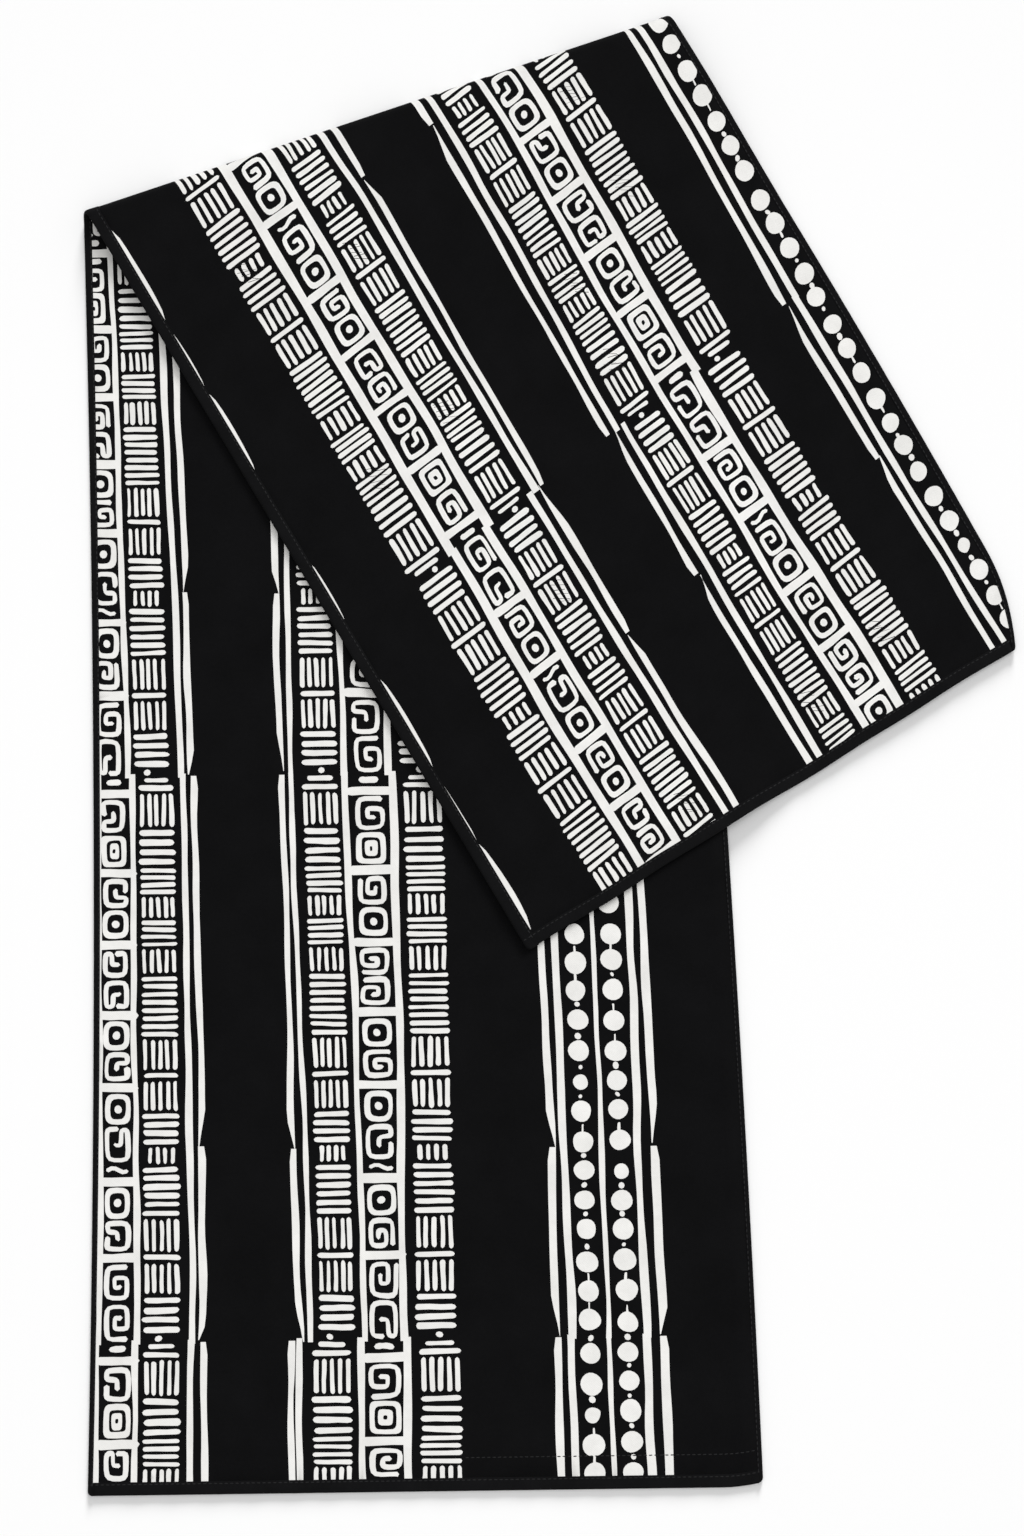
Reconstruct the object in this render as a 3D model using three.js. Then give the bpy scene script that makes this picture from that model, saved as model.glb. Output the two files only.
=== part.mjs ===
// A printed cotton table runner, lying on a flat surface and folded over once on the slant.
// Two printed panels lie back to back, and a plain strip binds each of the four edges.
// Millimetres, +Z up: X runs across the runner and Y along its lower layer. The origin is on
// the surface, under the middle of the folded runner.

import * as THREE from "three";

// The cloth and the strip that binds it
const PANEL_THICKNESS = 1;
const PIECE_GAP = 0.3;
const BINDING_WIDTH = 8;
const STACK_THICKNESS = 2 * PANEL_THICKNESS + PIECE_GAP;
const HALF_STACK = STACK_THICKNESS / 2;
const PANEL_INSET = BINDING_WIDTH + PIECE_GAP; // from the outline to a panel's edge

// The fold, and how the flap comes to rest past it
const FOLD_RADIUS = 5.5; // to the middle of the stack
const LAYER_GAP = 2; // between the flap and the layer under it
const SETTLE_RUN = 150; // from the fold to where the flap lies level
const DROP_START = 4; // past the lower layer's edge, where the flap starts down
const DROP_RUN = 45; // from there to the surface

// Corners of the outline, seen from above, before two of them are drawn in
const CORNERS = {
  lowerLeft: { x: -281.5, y: -471.5 },
  lowerRight: { x: 132.5, y: -466 },
  foldLeft: { x: -301, y: 339.5 },
  foldRight: { x: 77, y: 471 },
  flapLeft: { x: -11.5, y: -138 },
  flapRight: { x: 311, y: 62 },
};
const EDGE_BOW = 5; // of the lower layer's long sides, to the right
const FLAP_BOW = 4; // of the flap's right side, to the right
const LOWER_CORNER = { drawn: 3, alongEnd: 24, alongSide: 90 }; // the lower right corner
const FLAP_CORNER = { drawn: 15, alongEnd: 150, alongSide: 65 }; // the flap's right corner

// Rows of the mesh along the runner: 0 to 1 is the lower layer, 1 to 2 the bend, 2 to 3 the flap
const ROWS = [
  { stretch: "lower layer", from: 0, to: 1, steps: 12 },
  { stretch: "bend", from: 1, to: 2, steps: 12 },
  { stretch: "settling flap", from: 2, to: 2.36, steps: 10 },
  { stretch: "level flap", from: 2.36, to: 3, steps: 11 },
];
const COLUMNS = 18;
const NOSE_STEPS = 2; // of the binding's rounded outer edge, above and below its middle

const { lerp, clamp, smoothstep } = THREE.MathUtils;
const corner = (name) => new THREE.Vector2(CORNERS[name].x, CORNERS[name].y);
const between = (a, b, t) => new THREE.Vector2().lerpVectors(a, b, t);
const moved = (p, direction, distance) => p.clone().addScaledVector(direction, distance);

// Directions along the fold and outwards from it, and the line where the bend starts
const foldAlong = corner("foldRight").sub(corner("foldLeft")).normalize();
const foldOut = new THREE.Vector2(-foldAlong.y, foldAlong.x);
const bendLeft = moved(corner("foldLeft"), foldOut, -(FOLD_RADIUS + HALF_STACK));
const bendRight = moved(corner("foldRight"), foldOut, -(FOLD_RADIUS + HALF_STACK));

// The cloth runs over the fold on the slant, so it moves along the fold while it turns over.
const cloth = bendLeft.clone().add(bendRight).sub(corner("lowerLeft")).sub(corner("lowerRight"));
const SLANT = cloth.dot(foldAlong) / cloth.dot(foldOut);
const BEND_LENGTH = Math.PI * FOLD_RADIUS;
const flapStartLeft = moved(bendLeft, foldAlong, SLANT * BEND_LENGTH);
const flapStartRight = moved(bendRight, foldAlong, SLANT * BEND_LENGTH);

// How far a drawn-in corner moves a point, from its distances to the side and to the end that
// meet there. The edge that moves curves in, and the cloth behind it closes up evenly.
function drawnIn({ drawn, alongEnd, alongSide }, fromSide, fromEnd, curved) {
  const acrossShare = clamp(1 - fromSide / alongEnd, 0, 1);
  const alongShare = clamp(1 - fromEnd / alongSide, 0, 1);
  return drawn * acrossShare * alongShare * (curved === "end" ? acrossShare : alongShare);
}

// Left and right ends of a row of the lower layer, as a share of the way up to the bend
function lowerRow(share) {
  const bow = new THREE.Vector2(EDGE_BOW * 4 * share * (1 - share), 0);
  return {
    left: between(corner("lowerLeft"), bendLeft, share).add(bow),
    right: between(corner("lowerRight"), bendRight, share).add(bow),
  };
}

// Left and right ends of a row of the flap, as a share of the way from the bend to its end
function flapRow(share) {
  const bow = new THREE.Vector2(FLAP_BOW * 4 * share * (1 - share), 0);
  return {
    left: between(flapStartLeft, corner("flapLeft"), share),
    right: between(flapStartRight, corner("flapRight"), share).add(bow),
  };
}

// The lengths of the lower layer and of the flap at a share of the width
const lowerLength = (across) =>
  between(corner("lowerLeft"), corner("lowerRight"), across)
    .distanceTo(between(bendLeft, bendRight, across));
const flapLength = (across) =>
  between(corner("flapLeft"), corner("flapRight"), across)
    .distanceTo(between(flapStartLeft, flapStartRight, across));

// Height of the flap's middle over the surface: on the lower layer, then down past its right edge
function restHeight(p) {
  const lower = corner("lowerRight").y;
  const share = (p.y - lower) / (bendRight.y - lower);
  const past = p.x - lowerRow(clamp(share, 0, 1)).right.x;
  const onLayer = STACK_THICKNESS + LAYER_GAP + HALF_STACK;
  return lerp(onLayer, HALF_STACK, smoothstep(past, DROP_START, DROP_START + DROP_RUN));
}

// The middle of the stack, across from 0 at the left edge to 1 at the right, along as in ROWS
function middle(across, along) {
  if (along <= 1) {
    const row = lowerRow(along);
    const p = between(row.left, row.right, across);
    const fromSide = (1 - across) * row.left.distanceTo(row.right);
    p.y += drawnIn(LOWER_CORNER, fromSide, along * lowerLength(across), "end");
    return new THREE.Vector3(p.x, p.y, HALF_STACK);
  }
  if (along <= 2) {
    const turn = Math.PI * (along - 1);
    const p = between(bendLeft, bendRight, across);
    p.addScaledVector(foldAlong, SLANT * FOLD_RADIUS * turn);
    p.addScaledVector(foldOut, FOLD_RADIUS * Math.sin(turn));
    return new THREE.Vector3(p.x, p.y, HALF_STACK + FOLD_RADIUS * (1 - Math.cos(turn)));
  }
  const row = flapRow(along - 2);
  const p = between(row.left, row.right, across);
  const inward = row.left.clone().sub(row.right).normalize();
  const fromSide = (1 - across) * row.left.distanceTo(row.right);
  const fromEnd = (3 - along) * flapLength(across);
  p.addScaledVector(inward, drawnIn(FLAP_CORNER, fromSide, fromEnd, "side"));
  const fromBend = bendLeft.clone().sub(p).dot(foldOut);
  const lifted = 1 - smoothstep(fromBend, 0, SETTLE_RUN);
  const top = HALF_STACK + 2 * FOLD_RADIUS;
  return new THREE.Vector3(p.x, p.y, lerp(restHeight(p), top, lifted));
}

// The middle moved square to the cloth: up on the lower layer, and so down on the turned flap.
// The slope along the cloth is taken inside one of the stretches from 0 to 1, 1 to 2 and 2 to 3.
function offsetPoint(across, along, offset) {
  const step = 1e-3;
  const stretchStart = Math.min(Math.floor(along), 2);
  const low = Math.max(along - step, stretchStart);
  const up = middle(across, low + step).sub(middle(across, low));
  const right = middle(across + step, along).sub(middle(across - step, along));
  const out = right.cross(up).normalize();
  return middle(across, along).addScaledVector(out, offset);
}

// The share of the width that a distance in from a side takes
function widthShare(along, distance) {
  return distance / middle(0, along).distanceTo(middle(1, along));
}

// A place along the runner, kept this distance away from both its ends
function trimmedEnds(across, along, distance) {
  const first = distance / lowerLength(across);
  const last = 3 - distance / flapLength(across);
  return clamp(along, first, last);
}

const rows = ROWS.flatMap(({ from, to, steps }) =>
  Array.from({ length: steps }, (_, i) => lerp(from, to, i / steps)),
).concat(3);
const columns = Array.from({ length: COLUMNS + 1 }, (_, i) => i / COLUMNS);

// A closed solid through rings of points. A ring runs out along its upper points and back along
// the lower ones, so its ends close with quads between opposite points. Upper and lower quads are
// split on the same diagonal, which keeps the gap between two sheets even where they twist.
function loft(rings) {
  const count = rings[0].length;
  const faces = [];
  const quad = (a, b, c, d) => faces.push(a, b, c, a, c, d);
  for (let r = 0; r + 1 < rings.length; r++) {
    for (let i = 0; i < count; i++) {
      const j = (i + 1) % count;
      const [a, b] = [r * count + i, r * count + j];
      const [c, d] = [b + count, a + count];
      if (i < count / 2) quad(a, b, c, d);
      else quad(b, c, d, a);
    }
  }
  const last = (rings.length - 1) * count;
  for (let i = 0; i + 1 < count / 2; i++) {
    const opposite = count - 1 - i;
    quad(opposite, opposite - 1, i + 1, i);
    quad(last + i, last + i + 1, last + opposite - 1, last + opposite);
  }
  const geometry = new THREE.BufferGeometry();
  const positions = rings.flat().flatMap((p) => p.toArray());
  geometry.setAttribute("position", new THREE.Float32BufferAttribute(positions, 3));
  geometry.setIndex(faces);
  geometry.computeVertexNormals();
  return geometry;
}

// One printed panel, between two offsets from the middle and inside the binding
function panelGeometry(upper, lower) {
  return loft(
    rows.map((row) => {
      const share = widthShare(row, PANEL_INSET);
      const at = (column, offset) => {
        const across = lerp(share, 1 - share, column);
        return offsetPoint(across, trimmedEnds(across, row, PANEL_INSET), offset);
      };
      const top = columns.map((column) => at(column, upper));
      const bottom = columns.map((column) => at(column, lower)).reverse();
      return [...top, ...bottom];
    }),
  );
}

// The binding's section as distances in from the edge and offsets, from its inner side outwards
// above the middle and back below it, with a half-round outer edge
function bindingSection() {
  const upper = [{ inward: BINDING_WIDTH, offset: HALF_STACK }];
  for (let i = 0; i <= NOSE_STEPS; i++) {
    const angle = ((Math.PI / 2) * i) / (NOSE_STEPS + 0.5);
    upper.push({
      inward: HALF_STACK * (1 - Math.sin(angle)),
      offset: HALF_STACK * Math.cos(angle),
    });
  }
  const lower = upper.map(({ inward, offset }) => ({ inward, offset: -offset })).reverse();
  return [...upper, ...lower];
}

// A strip along a whole long side, round the fold, with the panels' rows between its two ends
function sideBindingGeometry(onRight) {
  const panelRows = rows.map((row) => trimmedEnds(onRight ? 1 : 0, row, PANEL_INSET));
  const rings = [0, ...panelRows, 3].map((row) =>
    bindingSection().map(({ inward, offset }) => {
      const share = widthShare(row, inward);
      return offsetPoint(onRight ? 1 - share : share, row, offset);
    }),
  );
  return loft(onRight ? rings : rings.reverse());
}

// A strip along an end, between the two long ones
function endBindingGeometry(onFlap) {
  const end = onFlap ? 3 : 0;
  const share = widthShare(end, PANEL_INSET);
  const rings = columns.map((column) =>
    bindingSection().map(({ inward, offset }) => {
      const across = lerp(share, 1 - share, column);
      return offsetPoint(across, trimmedEnds(across, end, inward), offset);
    }),
  );
  return loft(onFlap ? rings.reverse() : rings);
}

const printedCotton = new THREE.MeshStandardMaterial({ color: 0x151516, roughness: 0.85 });
const plainCotton = new THREE.MeshStandardMaterial({ color: 0x1a1a1b, roughness: 0.9 });

const PIECES = [
  {
    name: "face_panel",
    geometry: panelGeometry(HALF_STACK, PIECE_GAP / 2),
    material: printedCotton,
  },
  {
    name: "back_panel",
    geometry: panelGeometry(-PIECE_GAP / 2, -HALF_STACK),
    material: printedCotton,
  },
  { name: "binding_left", geometry: sideBindingGeometry(false), material: plainCotton },
  { name: "binding_right", geometry: sideBindingGeometry(true), material: plainCotton },
  { name: "binding_lower_end", geometry: endBindingGeometry(false), material: plainCotton },
  { name: "binding_flap_end", geometry: endBindingGeometry(true), material: plainCotton },
];

const runner = new THREE.Group();
for (const { name, geometry, material } of PIECES) {
  const mesh = new THREE.Mesh(geometry, material);
  mesh.name = name;
  runner.add(mesh);
}

export default runner;
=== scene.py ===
# A printed cotton table runner, lying on a flat surface and folded over once on the slant: two
# printed panels back to back, a plain strip round each edge, and the stitches that hold them.
# Metres, +Z up, in the CAD model's frame: X runs across the runner, Y along its lower layer.

import math
from collections import namedtuple
from functools import partial, partialmethod

import bmesh
import bpy
import numpy as np
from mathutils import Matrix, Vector
from mathutils.geometry import delaunay_2d_cdt


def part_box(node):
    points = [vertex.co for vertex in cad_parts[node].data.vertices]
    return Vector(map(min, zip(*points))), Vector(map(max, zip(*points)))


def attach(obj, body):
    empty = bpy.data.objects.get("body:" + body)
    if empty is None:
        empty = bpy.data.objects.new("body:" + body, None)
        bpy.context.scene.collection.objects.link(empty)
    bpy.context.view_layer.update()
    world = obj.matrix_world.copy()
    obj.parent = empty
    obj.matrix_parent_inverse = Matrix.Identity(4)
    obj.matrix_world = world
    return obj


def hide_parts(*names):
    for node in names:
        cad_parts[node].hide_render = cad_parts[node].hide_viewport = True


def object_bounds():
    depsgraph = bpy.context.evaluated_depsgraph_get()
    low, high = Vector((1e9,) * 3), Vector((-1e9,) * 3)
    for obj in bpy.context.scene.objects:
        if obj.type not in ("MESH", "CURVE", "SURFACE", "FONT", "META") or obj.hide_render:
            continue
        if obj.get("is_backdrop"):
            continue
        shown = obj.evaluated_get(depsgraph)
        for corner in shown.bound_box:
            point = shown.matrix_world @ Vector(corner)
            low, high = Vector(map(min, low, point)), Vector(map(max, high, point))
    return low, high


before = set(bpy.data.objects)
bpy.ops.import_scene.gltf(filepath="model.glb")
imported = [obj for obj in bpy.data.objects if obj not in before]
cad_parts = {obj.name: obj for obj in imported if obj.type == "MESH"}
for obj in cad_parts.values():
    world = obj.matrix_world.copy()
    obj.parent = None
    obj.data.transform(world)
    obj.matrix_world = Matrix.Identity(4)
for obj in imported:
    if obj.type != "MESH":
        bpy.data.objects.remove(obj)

bl_info = {
    "name": "Printed Cotton Runner",
    "version": (1, 0, 0),
    "blender": (4, 5, 0),
    "location": "View3D > Sidebar > Runner",
    "description": "Builds a bound, block-printed cotton runner that is folded over on the slant",
    "category": "Object",
}

MM = 0.001
BODY = "root"
CAD_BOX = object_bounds()
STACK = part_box("binding_lower_end")[1].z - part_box("binding_lower_end")[0].z  # the runner's thickness
CORNERS = ("lower_left", "lower_right", "fold_left", "fold_right", "flap_left", "flap_right")


def linear(hex_colour):
    """An sRGB hex colour as linear red, green and blue, with full alpha."""
    shares = [int(hex_colour[i : i + 2], 16) / 255 for i in (0, 2, 4)]
    return [s / 12.92 if s <= 0.04045 else ((s + 0.055) / 1.055) ** 2.4 for s in shares] + [1.0]


def number(name, description, default, **kind):
    return bpy.props.FloatProperty(name=name, description=description, default=default, **kind)


def length(name, description, mm):
    return number(name, description, mm * MM, min=0, unit="LENGTH", precision=5)


def angle(name, description, degrees):
    return number(name, description, math.radians(degrees), subtype="ANGLE")


def numbers(name, description, default, **kind):
    return bpy.props.FloatVectorProperty(
        name=name, description=description, default=default, size=len(default), **kind
    )


def spot(name, x, y):
    return numbers(name, f"{name}, seen from above", (x, y), unit="LENGTH", precision=4)


def colour(name, description, hex_colour):
    return numbers(name, description, linear(hex_colour), subtype="COLOR", min=0, max=1)


class RunnerShape(bpy.types.PropertyGroup):
    """Sizes of the folded cloth, as in the CAD model"""

    lower_left: spot("Lower left corner", -0.2815, -0.4715)
    lower_right: spot("Lower right corner", 0.1325, -0.466)
    fold_left: spot("Left end of the fold", -0.301, 0.3395)
    fold_right: spot("Right end of the fold", 0.077, 0.471)
    flap_left: spot("Flap's left corner", -0.0115, -0.138)
    flap_right: spot("Flap's right corner", 0.311, 0.062)
    edge_bow: length("Edge bow", "How far the lower layer's long sides bow to the right", 5)
    flap_bow: length("Flap bow", "How far the flap's right side bows to the right", 4)
    fold_radius: length(
        "Fold radius", "Radius of the fold at the middle of the cloth",
        (CAD_BOX[1].z - CAD_BOX[0].z - STACK) / 2 / MM,
    )
    layer_gap: length("Layer gap", "Space between the flap and the layer under it", 2)
    settle_run: length("Settle run", "From the fold to where the flap lies level", 150)
    drop_start: length("Drop start", "Past the lower layer's edge, where the flap starts down", 4)
    drop_run: length("Drop run", "From there to the surface", 45)
    lower_corner_cut: length("Lower corner", "How far the lower right corner is drawn in", 3)
    lower_corner_run: length("Lower corner run", "Length of the end that curves in there", 24)
    flap_corner_cut: length("Flap corner", "How far the flap's right corner is drawn in", 15)
    flap_corner_run: length("Flap corner run", "Length of the side that curves in there", 65)
    cloth_thickness: length("Cloth thickness", "Thickness of one printed panel", 0.4)


class RunnerPrint(bpy.types.PropertyGroup):
    """Colours and sizes of the print"""

    ground: colour("Ground", "Black-dyed cotton", "0E0E0F")
    motif: colour("Motif", "Undyed cotton, left by the wax", "EDECE9")
    face_repeat: length("Face repeat", "Length of one printing block on the face panel", 352)
    face_start: length("Face start", "Where a block starts on the face panel, from its end", 92)
    back_repeat: length("Back repeat", "Length of one printing block on the back panel", 338)
    back_start: length("Back start", "Where a block starts on the back panel, from its end", 126)
    band_stray: length("Band stray", "How far a band of a block may lie to one side", 0.4)
    wobble: length("Wobble", "How far a drawn outline strays", 0.25)
    brush: length("Brush width", "Width of the stroke that draws a spiral or ring", 3.15)
    dot_pitch: length("Dot pitch", "Distance between the dots of a row", 18.4)
    thread_pitch: length("Thread pitch", "Distance between the threads of the weave", 0.7)
    seed: bpy.props.IntProperty(name="Seed", description="Choice of the uneven drawing", default=7)


class RunnerSewing(bpy.types.PropertyGroup):
    """Colours and sizes of the binding and the stitches"""

    binding: colour("Binding", "Plain black cotton of the strips", "121213")
    thread: colour("Thread", "Black sewing thread", "1A1A1B")
    stitch_length: length("Stitch length", "Length of one stitch", 2.5)
    stitch_pitch: length("Stitch pitch", "From one stitch to the next", 3.3)
    thread_width: length("Thread width", "Width of the thread, drawn coarse enough to show", 0.75)
    side_face_width: length("Side strip, face", "Width of the long strips on the face panel", 3.2)
    end_face_width: length("End strip, face", "Width of the end strips on the face panel", 8)
    back_width: length("Strip, back", "Width of all the strips on the back panel", 8)
    row_share: number("Edge row", "Place of the stitches across a strip", 0.825, min=0, max=1)
    hem_row: length("Hem row", "From the runner's lower end to the second row of stitches", 20)
    hem_start: number("Hem start", "Share of the width where that row starts", 0.56, min=0, max=1)


class RunnerStage(bpy.types.PropertyGroup):
    """The surface, the lights and the camera"""

    floor: colour("Floor", "Matt white surface", "FCFCFC")
    floor_reach: length("Floor reach", "From the middle of the surface to its sides", 4000)
    key_strength: number("Key light", "Strength of the soft light on the cloth", 1.65, min=0)
    key_height: angle("Key height", "Angle of that light over the surface", 41)
    key_turn: angle("Key turn", "Its direction, from along the lower layer round to the right", 42)
    key_spread: angle("Key spread", "How wide that light is", 28)
    low_strength: number("Low light", "Strength of the low light that draws the shadow", 3.7, min=0)
    low_height: angle("Low height", "Angle of that light over the surface", 17)
    low_turn: angle("Low turn", "Its direction, from along the lower layer round to the right", 7)
    low_spread: angle("Low spread", "How wide that light is", 18)
    fill_power: number("Fill light", "Power of the lamp overhead", 18, min=0, unit="POWER")
    fill_size: length("Fill size", "Side of that lamp", 2400)
    fill_height: length("Fill height", "From the surface up to that lamp", 2600)
    sky: number("Sky", "Strength of the even light from all round", 0.47, min=0)
    camera_place: numbers(
        "Camera place", "Where the camera stands", (-0.0216, -0.2692, 1.8815),
        subtype="TRANSLATION", unit="LENGTH",
    )
    camera_tilt: angle("Camera tilt", "Lean from straight down towards the fold", 7.5)
    camera_frame: number("Camera frame", "Height of the camera's frame in mm", 36, min=1)
    camera_lens: number("Camera lens", "Focal length in mm", 70.3125, subtype="DISTANCE_CAMERA")


# The folded cloth

WIDTH = 400 * MM  # nominal, which a share across stands for on the flat cloth
SWELL_HEIGHT = 0.45 * MM  # of the soft swells of a flat layer
FLAP_SWELL = 0.9 * MM  # what the free part of the flap adds to them
SWELLS = ((43, 210, 0), (-110, 67, 1.7))  # mm across and along for a radian of the wave, and its start
PUCKER_HEIGHT = 0.12 * MM
PUCKER_FADE = 12 * MM  # in from an edge
PUCKER_ACROSS, PUCKER_ALONG, PUCKER_DRIFT = 3.7 * MM, 3.1 * MM, 11 * MM  # for a radian of the wave
END_LIFT = 0.8 * MM  # of the flap's end
# Stretches along the cloth
BEFORE_BEND, AFTER_BEND, FREE_FLAP, LIFTED_END = (0.93, 1.0), (2.0, 2.1), (2.15, 2.6), (2.8, 3.0)


def smoothstep(value, low, high):
    share = np.clip((value - low) / (high - low), 0, 1)
    return share * share * (3 - 2 * share)


def between(a, b, share):
    return a + (b - a) * np.asarray(share)[..., None]


class FoldedRunner:
    """The runner's shape. A place on it is across, from 0 at the left edge to 1 at the right, and
    along: 0 to 1 is the lower layer, 1 to 2 the bend at the fold and 2 to 3 the flap."""

    def __init__(self, shape):
        self.shape = shape
        self.half = STACK / 2
        self.radius = shape.fold_radius
        self.corner = {name: np.array(getattr(shape, name)) for name in CORNERS}
        fold = self.corner["fold_right"] - self.corner["fold_left"]
        self.fold_along = fold / np.linalg.norm(fold)
        self.fold_out = np.array([-self.fold_along[1], self.fold_along[0]])
        reach = self.fold_out * (self.radius + self.half)
        self.bend_left = self.corner["fold_left"] - reach
        self.bend_right = self.corner["fold_right"] - reach
        run = self.bend_left + self.bend_right - self.corner["lower_left"] - self.corner["lower_right"]
        self.slant = (run @ self.fold_along) / (run @ self.fold_out)
        self.bend_length = math.pi * self.radius
        slide = self.fold_along * self.slant * self.bend_length
        self.start_left = self.bend_left + slide
        self.start_right = self.bend_right + slide

    def lower_length(self, across):
        low = between(self.corner["lower_left"], self.corner["lower_right"], across)
        return np.linalg.norm(low - between(self.bend_left, self.bend_right, across), axis=-1)

    def flap_length(self, across):
        end = between(self.corner["flap_left"], self.corner["flap_right"], across)
        return np.linalg.norm(end - between(self.start_left, self.start_right, across), axis=-1)

    def whole_length(self, across):
        return self.lower_length(across) + self.bend_length + self.flap_length(across)

    def distance(self, across, along):
        """From the lower end to a place along the cloth, on the flat cloth."""
        lower = np.clip(along, 0, 1) * self.lower_length(across)
        bend = np.clip(along - 1, 0, 1) * self.bend_length
        return lower + bend + np.clip(along - 2, 0, 1) * self.flap_length(across)

    def along(self, across, distance):
        """The place along the cloth at a distance from the lower end."""
        lower = self.lower_length(across)
        past = distance - lower
        on_flap = 2 + (past - self.bend_length) / self.flap_length(across)
        on_bend = 1 + past / self.bend_length
        return np.where(past <= 0, distance / lower, np.where(past <= self.bend_length, on_bend, on_flap))

    def bowed(self, bow, share):
        """How far to the right a side bows, on its way from one end to the other."""
        return (bow * 4 * share * (1 - share))[..., None] * (1, 0)

    def lower_row(self, along):
        bow = self.bowed(self.shape.edge_bow, along)
        left = between(self.corner["lower_left"], self.bend_left, along) + bow
        return left, between(self.corner["lower_right"], self.bend_right, along) + bow

    def flap_row(self, share):
        bow = self.bowed(self.shape.flap_bow, share)
        left = between(self.start_left, self.corner["flap_left"], share)
        return left, between(self.start_right, self.corner["flap_right"], share) + bow

    def width(self, along):
        on_lower = (np.asarray(along) < 1.5)[..., None]
        flap_row = self.flap_row(np.clip(along - 2, 0, 1))
        left, right = np.where(on_lower, self.lower_row(np.clip(along, 0, 1)), flap_row)
        return np.linalg.norm(right - left, axis=-1)

    def lower_layer(self, across, along):
        left, right = self.lower_row(along)
        return between(left, right, across), np.full(across.shape, self.half)

    def bend(self, across, along):
        turn = math.pi * (along - 1)
        place = between(self.bend_left, self.bend_right, across)
        place = place + self.fold_along * (self.slant * self.radius * turn)[:, None]
        place = place + self.fold_out * (self.radius * np.sin(turn))[:, None]
        return place, self.half + self.radius * (1 - np.cos(turn))

    def flap(self, across, along):
        left, right = self.flap_row(along - 2)
        place = between(left, right, across)
        low = self.corner["lower_right"][1]
        beside = np.clip((place[:, 1] - low) / (self.bend_right[1] - low), 0, 1)
        past = place[:, 0] - self.lower_row(beside)[1][:, 0]
        drop = smoothstep(past, self.shape.drop_start, self.shape.drop_start + self.shape.drop_run)
        rest = self.half + (STACK + self.shape.layer_gap) * (1 - drop)
        lifted = 1 - smoothstep((self.bend_left - place) @ self.fold_out, 0, self.shape.settle_run)
        return place, rest + (self.half + 2 * self.radius - rest) * lifted

    def middle(self, across, along):
        """Points on the middle of the cloth."""
        across, along = np.broadcast_arrays(np.asarray(across, float), np.asarray(along, float))
        points = np.empty(across.shape + (3,))
        stretches = (
            (along <= 1, self.lower_layer),
            ((along > 1) & (along <= 2), self.bend),
            (along > 2, self.flap),
        )
        for here, stretch in stretches:
            points[here, :2], points[here, 2] = stretch(across[here], along[here])
        points[..., 2] += self.unevenness(across, along)
        return points

    def unevenness(self, across, along):
        """How far the cloth stands up in soft swells, and in small puckers beside its seams."""
        x = across * WIDTH
        y = self.distance(across, along)
        waves = [np.sin(x / (a * MM) + y / (b * MM) + start) for a, b, start in SWELLS]
        swell = (2 + sum(waves)) / 4 * (SWELL_HEIGHT + FLAP_SWELL * smoothstep(along, *FREE_FLAP))
        from_side = np.minimum(across, 1 - across) * WIDTH
        edge = np.minimum(from_side, np.minimum(y, self.whole_length(across) - y))
        wave = np.sin(y / PUCKER_ALONG + x / PUCKER_ACROSS + np.sin(y / PUCKER_DRIFT))
        pucker = PUCKER_HEIGHT * np.exp(-np.maximum(edge, 0) / PUCKER_FADE) * (1 + wave)
        lift = END_LIFT * smoothstep(along, *LIFTED_END)
        on_bend = smoothstep(along, *BEFORE_BEND) * (1 - smoothstep(along, *AFTER_BEND))
        return (1 - on_bend) * (swell + pucker + lift)

    def place(self, across, along, offset):
        """Points square out from the middle: up on the lower layer, so down on the turned flap."""
        step = 1e-3
        low = np.maximum(along - step, np.minimum(np.floor(along), 2))
        up = self.middle(across, low + step) - self.middle(across, low)
        right = self.middle(across + step, along) - self.middle(across - step, along)
        out = np.cross(right, up)
        out /= np.linalg.norm(out, axis=-1, keepdims=True)
        return self.middle(across, along) + out * np.asarray(offset)[..., None]

    def lower_edge(self, across):
        """The lower end's distance from a straight one, where its right corner is drawn in."""
        from_side = (1 - across) * WIDTH
        return self.shape.lower_corner_cut * np.clip(1 - from_side / self.shape.lower_corner_run, 0, 1) ** 2

    def right_edge(self, along):
        """The right edge's share across, which is under 1 where the flap's corner is drawn in."""
        from_end = (3 - along) * self.flap_length(1.0)
        cut = self.shape.flap_corner_cut * np.clip(1 - from_end / self.shape.flap_corner_run, 0, 1) ** 2
        return 1 - cut / self.width(along)


# The print: bands along the cloth of bars, square spirals, dots and lines

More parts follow.
